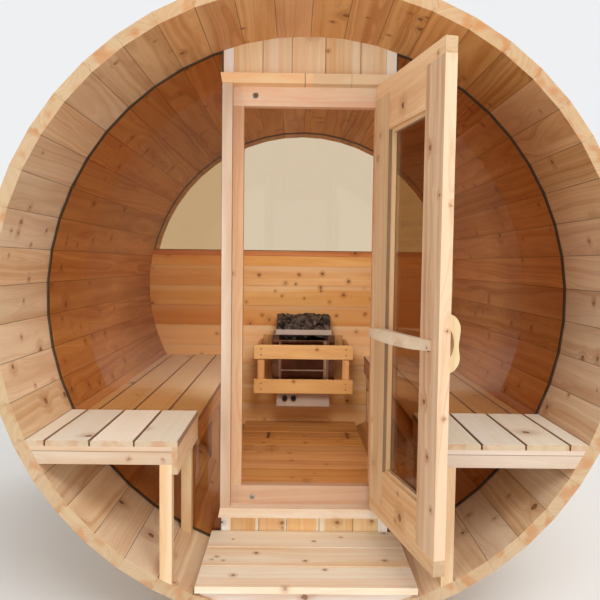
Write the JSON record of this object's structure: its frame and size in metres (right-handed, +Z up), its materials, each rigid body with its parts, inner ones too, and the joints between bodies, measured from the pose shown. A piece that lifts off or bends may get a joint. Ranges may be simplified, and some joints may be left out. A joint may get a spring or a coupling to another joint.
{
  "type": "barrel sauna",
  "caption": "Barrel sauna of cedar staves with an open porch, porch benches, glazed front, a hinged door, cabin benches, a rear half-moon window and a guarded stove.",
  "frame": {"origin": "on the ground, below the middle of the barrel's length, at the middle cradle's underside", "axes": "+Z up, -Y out of the porch, +Y towards the rear window, +X on the right of someone facing the door"},
  "size_m": [2.1328, 2.613, 2.1805],
  "materials": {
    "cedar_staves": "planed, unfinished",
    "cedar_wall_boards": "planed, unfinished",
    "cedar_trim": "planed, unfinished, sapwood",
    "cedar_frame": "planed, unfinished, heartwood",
    "cedar_door": "planed, unfinished",
    "cedar_deck": "planed, unfinished",
    "cedar_bench": "planed, unfinished",
    "cradle_timber": "sawn",
    "guard_timber": "planed, unfinished",
    "tinted_glass": "bronze tint, polished",
    "black_seal": "matte",
    "band_steel": "brushed",
    "hinge_steel": "brushed",
    "heater_steel": "polished sheet",
    "control_box_steel": "satin sheet",
    "heater_stone": "broken rock",
    "knob_plastic": "matte black"
  },
  "bodies": {
    "sauna": {"back_wall_boards": "cedar_wall_boards", "cabin_bench_aprons": "cedar_bench", "cabin_bench_legs": "cedar_bench", "cabin_bench_rails": "cedar_bench", "cabin_bench_slats": "cedar_bench", "cabin_floor_boards": "cedar_deck", "cradles": "cradle_timber", "door_casings": "cedar_trim", "door_head_board": "cedar_frame", "door_head_trim": "cedar_trim", "door_sill_trim": "cedar_trim", "door_stops": "cedar_frame", "door_threshold": "cedar_frame", "floor_runners": "cedar_deck", "frame_hinges": "hinge_steel", "front_bottom_boards": "cedar_wall_boards", "front_glass": "tinted_glass", "front_glass_seals": "black_seal", "front_posts": "cedar_trim", "front_top_boards": "cedar_wall_boards", "guard_arms": "guard_timber", "guard_boards": "guard_timber", "guard_posts": "guard_timber", "heater_brackets": "heater_steel", "heater_case": "heater_steel", "heater_control_box": "control_box_steel", "heater_stones": "heater_stone", "porch_bench_aprons": "cedar_bench", "porch_bench_legs": "cedar_bench", "porch_bench_rails": "cedar_bench", "porch_bench_slats": "cedar_bench", "porch_floor_boards": "cedar_deck", "porch_floor_fascia": "cedar_deck", "staves_left_lower": "cedar_staves", "staves_left_upper": "cedar_staves", "staves_right_lower": "cedar_staves", "staves_right_upper": "cedar_staves", "staves_roof": "cedar_staves", "steel_bands": "band_steel", "window_cap": "cedar_frame", "window_glass": "tinted_glass", "window_seal": "black_seal"},
    "door": {"door_stiles": "cedar_door", "door_rails": "cedar_door", "door_glass": "tinted_glass", "door_glazing_beads": "cedar_door", "door_push_bar": "cedar_trim", "door_pull_handle": "cedar_trim", "leaf_hinges": "hinge_steel"},
    "timer": {"timer_knob": "knob_plastic"},
    "thermostat": {"thermostat_knob": "knob_plastic"}
  },
  "joints": [
    {"name": "door_hinge", "type": "hinge", "parent": "sauna", "child": "door", "pos_m": [0.292, -0.8187, 1.112], "axis": [0, 0, 1], "range_deg": [-103, 4]},
    {"name": "timer_turn", "type": "hinge", "parent": "sauna", "child": "timer", "pos_m": [-0.103, 0.776, 0.40411], "axis": [0, -1, 0], "range_deg": [-300, 0]},
    {"name": "thermostat_turn", "type": "hinge", "parent": "sauna", "child": "thermostat", "pos_m": [-0.048, 0.776, 0.40411], "axis": [0, -1, 0], "range_deg": [-270, 0]}
  ]
}
